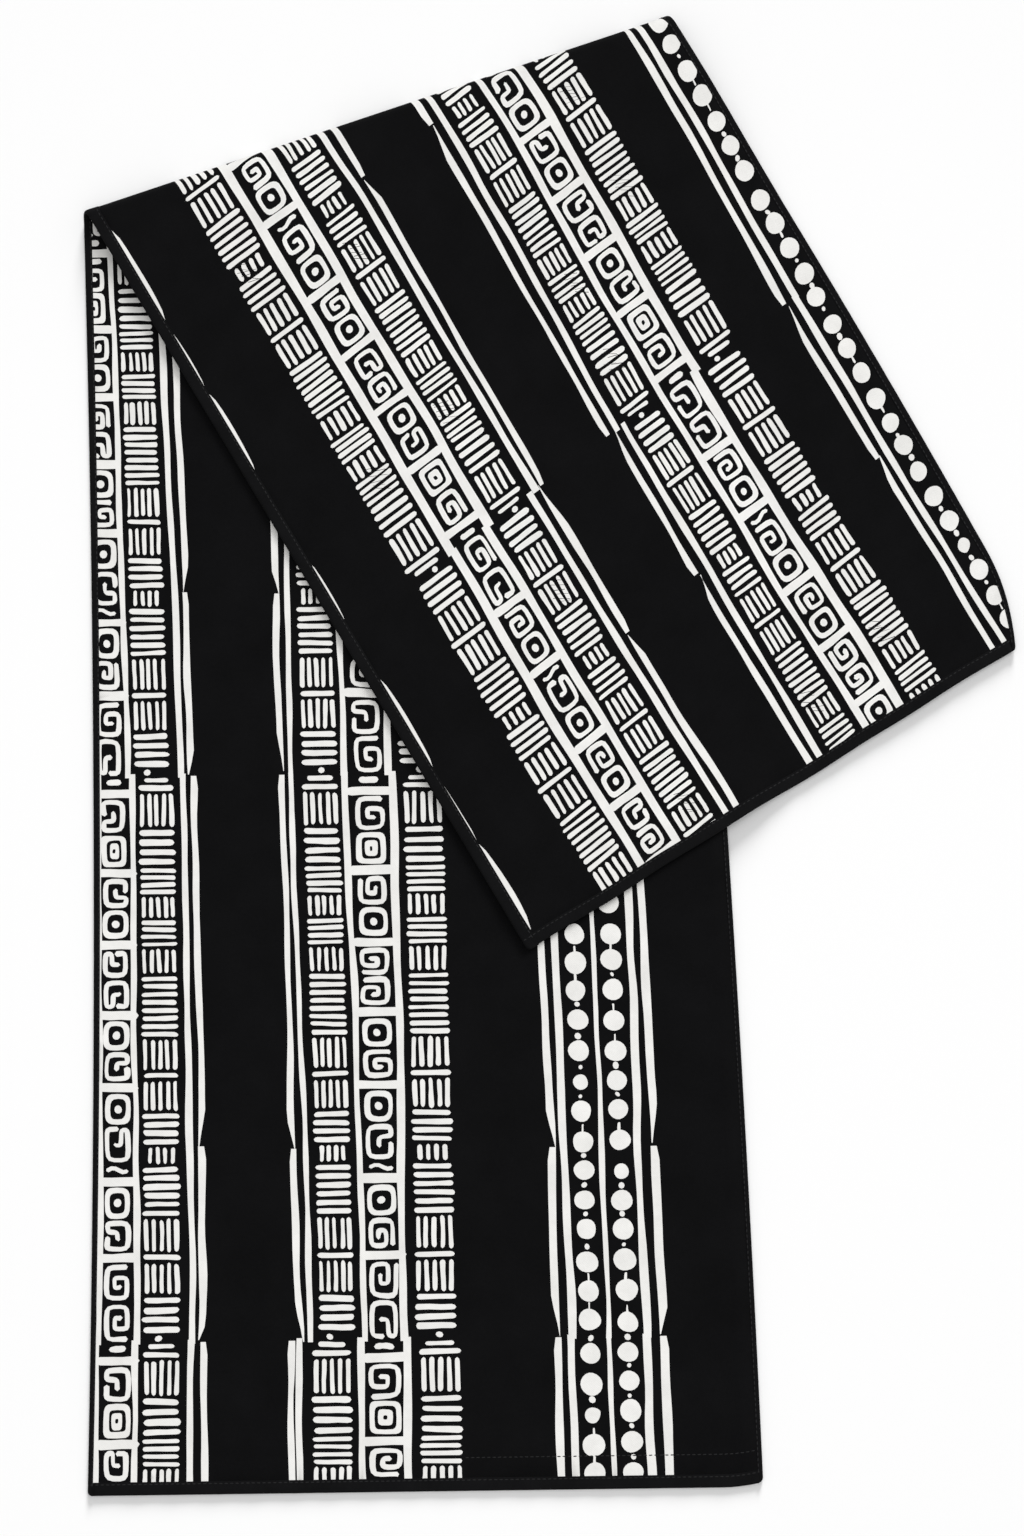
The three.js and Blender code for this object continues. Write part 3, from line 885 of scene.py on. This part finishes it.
class RUNNER_OT_printed_panels(bpy.types.Operator):
    """Make the two printed cotton panels, which lie back to back"""

    bl_idname = "runner.printed_panels"
    bl_label = "Printed Panels"

    def execute(self, context):
        settings = context.scene.runner_print
        runner = FoldedRunner(context.scene.runner_shape)
        pitch = settings.thread_pitch
        materials = (
            # Wax print cotton, dyed black: matt, nearly black, with a faint grain of threads.
            woven_cotton(
                "Black-dyed print cotton", settings.ground, pitch,
                mottle=0.3, mottle_run=40 * MM, roughness=0.9, specular=0.03,
            ),
            # The same cotton where the wax kept the dye out: off-white, a little greyed in patches.
            woven_cotton(
                "Undyed print cotton", settings.motif, pitch,
                mottle=0.09, mottle_run=22 * MM, roughness=0.85, specular=0.15,
            ),
        )
        end = runner.whole_length(np.array([0.0, 1.0])).max()
        face = BlockPrint(settings, FACE_BANDS, FACE_DRIFT, settings.seed, False)
        face.blocks(settings.face_start, settings.face_repeat, end)
        back = BlockPrint(settings, BACK_BANDS, BACK_DRIFT, settings.seed + 1, True)
        back.blocks(settings.back_start, settings.back_repeat, end)
        self.panel("face_panel_cloth", face, runner, 1, materials, "face_panel")
        self.panel("back_panel_cloth", back, runner, -1, materials, "back_panel")
        return {"FINISHED"}

    def outline(self, runner):
        """The panel's edge on the flat cloth, inside the binding."""
        share = PANEL_INSET / WIDTH
        columns = share + PANEL_COLUMNS * (1 - 2 * share)
        rows = PANEL_ROWS[1:-1]
        low = np.column_stack([columns, runner.lower_edge(columns) + PANEL_INSET])
        right = runner.right_edge(rows) - share
        right = np.column_stack([right, runner.distance(right, rows)])
        left = np.column_stack([np.full(len(rows), share), runner.distance(share, rows)])
        corner = runner.right_edge(np.array(3.0)) - share
        columns = np.append(columns[columns < corner], corner)
        high = np.column_stack([columns, runner.whole_length(columns) - PANEL_INSET])
        return np.concatenate([low, right, high[::-1], left[::-1]]) * (WIDTH, 1)

    def lines(self, runner):
        """The lines of a grid on the flat cloth, which let it bend."""
        places = [(PANEL_COLUMNS, np.full(len(PANEL_COLUMNS), row)) for row in PANEL_ROWS]
        places += [(np.full(len(PANEL_ROWS), column), PANEL_ROWS) for column in PANEL_COLUMNS]
        return [np.column_stack([x * WIDTH, runner.distance(x, y)]) for x, y in places]

    def panel(self, name, block_print, runner, side, materials, node):
        flat, triangles, undyed = cut_cloth(
            self.outline(runner), self.lines(runner), block_print.shapes, block_print.cracks
        )
        across = flat[:, 0] / WIDTH
        points = runner.place(across, runner.along(across, flat[:, 1]), side * PANEL_OFFSET)
        if side < 0:
            triangles = triangles[:, ::-1]
        piece = new_piece(name, points, triangles, materials, node)
        mesh = piece.data
        mesh.polygons.foreach_set("material_index", undyed.astype(np.int32))
        corners = flat[triangles.ravel()]
        add_map(mesh, "cloth", corners)
        # The exported colours are drawn on two copies of the flat cloth, side by side: the ground on
        # one and the motifs on the other, so neither runs into the other at the edge of a motif.
        copies = corners / (WIDTH, BAKE_LENGTH) * BAKE_COPY + BAKE_MARGIN
        copies[:, 0] += BAKE_STEP * np.repeat(undyed, 3)
        add_map(mesh, "OFBake", copies)
        solidify = piece.modifiers.new("thickness", "SOLIDIFY")
        solidify.thickness = runner.shape.cloth_thickness
        solidify.offset = -1
        width = runner.width(np.array([0.0, 2.0, 3.0])).mean() - 2 * PANEL_INSET
        long = runner.whole_length(np.array([0.0, 0.5, 1.0])).mean() - 2 * PANEL_INSET


# The upper half of the binding's section, from its inner side to the runner's edge: distances in
# from that edge and out from the runner's middle, in mm
BINDING_SECTION = (
    (8.0, 0.80), (7.5, 0.97), (6.6, 0.93), (5.4, 1.06), (3.6, 1.10), (1.6, 1.06), (0.5, 0.72), (0.0, 0.0),
)
BINDING_THICKNESS = 0.3  # mm
LEFT_WIDTHS = ((0, 1, 2), (1, 1.6, 1))  # places along, and how wide the left strip is there
RIGHT_WIDTHS = ((1, 2, 2.8, 3), (1, 0.6, 0.6, 0.35))
FLAP_END_INSET = 0.4 * MM
FLAP_END_STRAY = 0.6 * MM  # how far the flap's end strays from a straight line
FLAP_END_WAVES = (23, 9)  # radians over the width
TUCK = 2.2 * MM  # from the runner's long sides to the ends of the end strips, under the long ones
TUCKED_HEIGHTS = (0.9, 0.96)  # of a tucked strip's first two rows and last two
CORNER_ROUND = 2.9 * MM  # radius of the runner's corners
CORNER_DEPTH = 1.1 * CORNER_ROUND  # from the edge in to where a strip isn't drawn in by that


def beside_left(runner, along, inward):
    """Places at a distance in from the left side."""
    return inward * np.interp(along, *LEFT_WIDTHS) / runner.width(along), along


def beside_right(runner, along, inward):
    """Places at a distance in from the right side."""
    inward = inward * np.interp(along, *RIGHT_WIDTHS)
    across = runner.right_edge(along) - inward / runner.width(along)
    distance = runner.distance(across, along)
    drawn = runner.lower_edge(across) * np.clip(1 - distance / runner.shape.flap_corner_run, 0, 1)
    return across, runner.along(across, distance + drawn)


def beside_lower_end(runner, share, inward):
    """Places at a distance in from the lower end."""
    inset = TUCK / WIDTH
    across = inset + share * (1 - 2 * inset)
    return across, runner.along(across, runner.lower_edge(across) + inward)


def beside_flap_end(runner, share, inward):
    """Places at a distance in from the flap's end."""
    inset = TUCK / WIDTH
    across = inset + share * (runner.right_edge(np.array(3.0)) - 2 * inset)
    first, second = FLAP_END_WAVES
    stray = FLAP_END_STRAY * np.sin(first * across + 1) * np.sin(second * across)
    return across, runner.along(across, runner.whole_length(across) - inward - stray - FLAP_END_INSET)


SIDES = (("left", beside_left), ("right", beside_right))
ENDS = (("lower_end", beside_lower_end), ("flap_end", beside_flap_end))


def runs(points):
    """The distance from the first point to each one, along the line through them."""
    return np.concatenate([[0], np.cumsum(np.linalg.norm(np.diff(points, axis=0), axis=1))])


def mesh_outwards(mesh):
    """Turns the faces of a closed mesh outwards."""
    form = bmesh.new()
    form.from_mesh(mesh)
    bmesh.ops.recalc_face_normals(form, faces=form.faces)
    form.to_mesh(mesh)
    form.free()


class RUNNER_OT_edge_binding(bpy.types.Operator):
    """Make the four plain strips that bind the runner's edges"""

    bl_idname = "runner.edge_binding"
    bl_label = "Edge Binding"

    def execute(self, context):
        sewing = context.scene.runner_sewing
        runner = FoldedRunner(context.scene.runner_shape)
        pitch = context.scene.runner_print.thread_pitch
        # Plain black cotton: matt, a little paler and dustier than the printed ground.
        cotton = woven_cotton(
            "Plain black cotton", sewing.binding, pitch,
            mottle=0.3, mottle_run=25 * MM, roughness=0.92, specular=0.03,
        )
        rows = np.concatenate([
            rows_between(0, 0.004, 6), rows_between(0.004, 1, 150), rows_between(1, 2, 24),
            rows_between(2, 2.994, 110), np.linspace(2.994, 3, 6),
        ])
        columns = np.linspace(0, 1, 90)
        for edges, places, face_width in (
            (SIDES, rows, sewing.side_face_width), (ENDS, columns, sewing.end_face_width)
        ):
            section = self.section(face_width, sewing.back_width)
            for name, edge in edges:
                self.strip(name, runner, edge, places, [cotton], section, edges is ENDS)
        return {"FINISHED"}

    def section(self, face_width, back_width):
        """The closed section of a strip, from its outer skin round to its inner one."""
        upper = np.array(BINDING_SECTION)
        slope = np.gradient(upper, axis=0)
        slope /= np.linalg.norm(slope, axis=1, keepdims=True)
        within = upper + np.column_stack([-slope[:, 1], slope[:, 0]]) * BINDING_THICKNESS
        within[0, 0] = upper[0, 0]
        within[-1] = (upper[-1, 0] + BINDING_THICKNESS, 0)
        face = (face_width / (upper[0, 0] * MM), 1)
        back = (back_width / (upper[0, 0] * MM), -1)
        loop = [upper * face, upper[-2::-1] * back, within[:-1] * back, within[::-1] * face]
        return np.concatenate(loop) * MM

    def strip(self, name, runner, edge, places, materials, section, tucked):
        """Carries the section along an edge of the runner."""
        count = len(section)
        heights = np.ones(len(places))
        rounding = np.zeros(len(places))
        if tucked:
            heights[[0, 1, -2, -1]] = TUCKED_HEIGHTS + TUCKED_HEIGHTS[::-1]
        else:
            from_end = np.minimum(runner.distance(0.5, places), (3 - places) * runner.flap_length(0.5))
            short = np.clip(1 - from_end / CORNER_ROUND, 0, 1)
            rounding = CORNER_ROUND * (1 - np.sqrt(1 - short**2))
        lines = []
        for inward, offset in section:
            drawn_in = inward + rounding * max(0, 1 - inward / CORNER_DEPTH)
            across, along = edge(runner, places, drawn_in)
            lines.append(runner.place(across, along, offset * heights))
        rings = np.stack(lines, 1)
        quads = []
        for first in range(0, (len(places) - 1) * count, count):
            for i in range(count):
                j = (i + 1) % count
                quads.append((first + i, first + j, first + count + j, first + count + i))
        half = count // 2
        last = (len(places) - 1) * count
        for i in range(half - 1):
            quads.append((i, count - 1 - i, count - 2 - i, i + 1))
            quads.append((last + i, last + i + 1, last + count - 2 - i, last + count - 1 - i))
        points = rings.reshape(-1, 3)
        piece = new_piece(
            f"{name}_binding_strip", points, quads, materials, f"binding_{name}"
        )
        mesh = piece.data
        mesh_outwards(mesh)
        run = runs(rings.mean(axis=1))
        flat = np.stack(np.meshgrid(runs(section), run), -1).reshape(-1, 2)
        vertices = np.empty(len(mesh.loops), np.int32)
        mesh.loops.foreach_get("vertex_index", vertices)
        add_map(mesh, "cloth", flat[vertices])


EDGE_ROW_OFFSET = 1.0 * MM  # from the middle of the runner to the stitches on a strip
HEM_ROW_OFFSET = 0.74 * MM  # and to those on a panel
STITCH_FLATNESS = 0.38  # a stitch's height, as a share of its width
STITCH_TURN = 0.09  # radians that a stitch may lie askew
STITCH_SEED = 3


def stitch_tree():
    """Geometry nodes that lay stitches along the edges of a mesh."""
    tree = bpy.data.node_groups.new("Stitch rows", "GeometryNodeTree")
    for name, kind in (
        ("Rows", "Geometry"), ("Pitch", "Float"), ("Length", "Float"), ("Width", "Float"),
        ("Height", "Float"), ("Seed", "Int"), ("Thread", "Material"),
    ):
        tree.interface.new_socket(name, in_out="INPUT", socket_type=f"NodeSocket{kind}")
    tree.interface.new_socket("Stitches", in_out="OUTPUT", socket_type="NodeSocketGeometry")
    add = partial(add_node, tree)
    given = add("NodeGroupInput").outputs
    curves = add("GeometryNodeMeshToCurve", Mesh=given["Rows"])
    spots = add("GeometryNodeCurveToPoints", {"mode": "LENGTH"}, Curve=curves, Length=given["Pitch"])
    size = add("ShaderNodeCombineXYZ", X=given["Length"], Y=given["Width"], Z=given["Height"])
    bead = add("GeometryNodeMeshUVSphere", Segments=6, Rings=4, Radius=0.5)
    stitch = add("GeometryNodeTransform", Geometry=bead, Scale=size)
    turn = add("FunctionNodeAlignRotationToVector", {"axis": "X"}, Vector=spots.outputs["Tangent"])
    stray = add(
        "FunctionNodeRandomValue", {"data_type": "FLOAT_VECTOR"},
        _0=(0, 0, -STITCH_TURN), _1=(0, 0, STITCH_TURN), Seed=given["Seed"],
    )
    strayed = add("FunctionNodeRotateRotation", {"rotation_space": "LOCAL"}, _0=turn, _1=stray)
    laid = add("GeometryNodeInstanceOnPoints", Points=spots, Instance=stitch, Rotation=strayed)
    real = add("GeometryNodeRealizeInstances", Geometry=laid)
    sewn = add("GeometryNodeSetMaterial", Geometry=real, Material=given["Thread"])
    add("NodeGroupOutput", Stitches=sewn)
    return tree


class RUNNER_OT_stitching(bpy.types.Operator):
    """Make the rows of stitches along the binding and beside the lower end"""

    bl_idname = "runner.stitching"
    bl_label = "Stitching"

    def execute(self, context):
        sewing = context.scene.runner_sewing
        runner = FoldedRunner(context.scene.runner_shape)
        # Spun sewing thread, dyed black: a little paler than the cotton, with a faint gloss.
        thread = spun_thread("Black sewing thread", sewing.thread)
        rows = np.concatenate([rows_between(0, 1, 240), rows_between(1, 2, 24), np.linspace(2, 3, 160)])
        inner_rows = rows[2:-2]  # clear of the corners
        columns = np.linspace(0, 1, 120)
        edge_rows = []
        hem_rows = []
        for side in (1, -1):
            for edges, places, face_width in (
                (SIDES, inner_rows, sewing.side_face_width), (ENDS, columns, sewing.end_face_width)
            ):
                inward = sewing.row_share * (face_width if side > 0 else sewing.back_width)
                for _, edge in edges:
                    edge_rows.append(self.row(runner, edge, places, inward, side * EDGE_ROW_OFFSET))
            part = columns[columns > sewing.hem_start]
            hem_rows.append(self.row(runner, beside_lower_end, part, sewing.hem_row, side * HEM_ROW_OFFSET))
        tree = stitch_tree()
        self.sew(context, tree, "edge_stitches", edge_rows, sewing, thread)
        self.sew(context, tree, "hem_stitches", hem_rows, sewing, thread)
        return {"FINISHED"}

    def row(self, runner, edge, places, inward, offset):
        across, along = edge(runner, places, np.full(len(places), inward))
        return runner.place(across, along, np.full(len(places), offset))

    def sew(self, context, tree, name, rows, sewing, thread):
        mesh = bpy.data.meshes.new(name)
        starts = np.cumsum([0] + [len(row) for row in rows])
        links = [(i, i + 1) for a, b in zip(starts, starts[1:]) for i in range(a, b - 1)]
        mesh.from_pydata([tuple(p) for p in np.concatenate(rows)], links, [])
        piece = bpy.data.objects.new(name, mesh)
        context.scene.collection.objects.link(piece)
        modifier = piece.modifiers.new("stitches", "NODES")
        modifier.node_group = tree
        values = {
            "Pitch": sewing.stitch_pitch, "Length": sewing.stitch_length, "Width": sewing.thread_width,
            "Height": sewing.thread_width * STITCH_FLATNESS, "Seed": STITCH_SEED, "Thread": thread,
        }
        for socket in tree.interface.items_tree:
            if socket.name in values:
                modifier[socket.identifier] = values[socket.name]
        context.view_layer.update()
        graph = context.evaluated_depsgraph_get()
        sewn = bpy.data.meshes.new_from_object(piece.evaluated_get(graph), depsgraph=graph)
        piece.modifiers.remove(modifier)
        piece.data = sewn
        sewn.name = name
        if not len(sewn.polygons):
            raise RuntimeError(f"{name} has no stitches")
        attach(piece, BODY)


class RUNNER_OT_stage(bpy.types.Operator):
    """Make the surface, the soft light and the camera"""

    bl_idname = "runner.stage"
    bl_label = "Stage"

    def execute(self, context):
        stage = context.scene.runner_stage
        floor = self.floor(context.scene, stage)
        self.lights(context.scene, stage, floor)
        self.camera(context.scene, stage)
        return {"FINISHED"}

    def floor(self, scene, stage):
        mesh = bpy.data.meshes.new("surface")
        corners = np.array([(-1, -1, 0), (1, -1, 0), (1, 1, 0), (-1, 1, 0)]) * stage.floor_reach
        mesh.from_pydata(corners.tolist(), [], [(0, 1, 2, 3)])
        # Matt white paper: even, with no gloss.
        material, add = new_material("Matt white paper")
        surface = add(
            "ShaderNodeBsdfPrincipled", Base_Color=stage.floor, Roughness=0.95, Specular_IOR_Level=0.1
        )
        add("ShaderNodeOutputMaterial", Surface=surface)
        mesh.materials.append(material)
        floor = bpy.data.objects.new("surface", mesh)
        scene.collection.objects.link(floor)
        floor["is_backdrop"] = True
        return floor

    def lit(self, name, floor, state):
        """The things that a lamp lights: only the surface, or all but the surface."""
        things = bpy.data.collections.new(name)
        things.objects.link(floor)
        things.collection_objects[0].light_linking.link_state = state
        return things

    def lights(self, scene, stage, floor):
        world = bpy.data.worlds.new("studio")
        world.use_nodes = True
        background = world.node_tree.nodes["Background"]
        background.inputs["Color"].default_value = (1, 1, 1, 1)
        background.inputs["Strength"].default_value = stage.sky
        scene.world = world
        # The cloth is lit from higher up than the surface, whose low light gives so thin a thing a shadow.
        for name, strength, height, turn, spread, lit in (
            ("key", stage.key_strength, stage.key_height, stage.key_turn, stage.key_spread, "EXCLUDE"),
            ("low", stage.low_strength, stage.low_height, stage.low_turn, stage.low_spread, "INCLUDE"),
        ):
            lamp = bpy.data.lights.new(name, "SUN")
            lamp.energy = strength
            lamp.angle = spread
            light = bpy.data.objects.new(name, lamp)
            light.rotation_euler = (height - math.pi / 2, 0, -turn)
            light.light_linking.receiver_collection = self.lit(name, floor, lit)
            scene.collection.objects.link(light)
        lamp = bpy.data.lights.new("fill", "AREA")
        lamp.energy = stage.fill_power
        lamp.size = stage.fill_size
        light = bpy.data.objects.new("fill", lamp)
        light.location = (0, 0, stage.fill_height)
        scene.collection.objects.link(light)

    def camera(self, scene, stage):
        lens = bpy.data.cameras.new("camera")
        lens.sensor_fit = "VERTICAL"
        lens.sensor_height = stage.camera_frame
        lens.lens = stage.camera_lens
        camera = bpy.data.objects.new("camera", lens)
        camera.location = stage.camera_place
        camera.rotation_euler = (stage.camera_tilt, 0, 0)
        scene.collection.objects.link(camera)
        scene.camera = camera
        scene.view_settings.view_transform = "Standard"


class RUNNER_PT_sidebar(bpy.types.Panel):
    """Steps and settings of the runner"""

    bl_idname = "RUNNER_PT_sidebar"
    bl_label = "Printed Runner"
    bl_space_type = "VIEW_3D"
    bl_region_type = "UI"
    bl_category = "Runner"

    def draw(self, context):
        for operator in OPERATORS:
            self.layout.operator(operator.bl_idname)
        for group, place in GROUPS.items():
            settings = getattr(context.scene, place)
            box = self.layout.box()
            box.label(text=group.__doc__)
            for name in group.__annotations__:
                box.prop(settings, name)


GROUPS = {
    RunnerShape: "runner_shape",
    RunnerPrint: "runner_print",
    RunnerSewing: "runner_sewing",
    RunnerStage: "runner_stage",
}
OPERATORS = (RUNNER_OT_printed_panels, RUNNER_OT_edge_binding, RUNNER_OT_stitching, RUNNER_OT_stage)


def register():
    for group, name in GROUPS.items():
        bpy.utils.register_class(group)
        setattr(bpy.types.Scene, name, bpy.props.PointerProperty(type=group))
    for kind in OPERATORS + (RUNNER_PT_sidebar,):
        bpy.utils.register_class(kind)


def unregister():
    for kind in (RUNNER_PT_sidebar,) + OPERATORS[::-1]:
        bpy.utils.unregister_class(kind)
    for group, name in GROUPS.items():
        delattr(bpy.types.Scene, name)
        bpy.utils.unregister_class(group)


def main():
    register()
    bpy.ops.runner.printed_panels()
    bpy.ops.runner.edge_binding()
    bpy.ops.runner.stitching()
    bpy.ops.runner.stage()


if __name__ == "__main__":
    main()
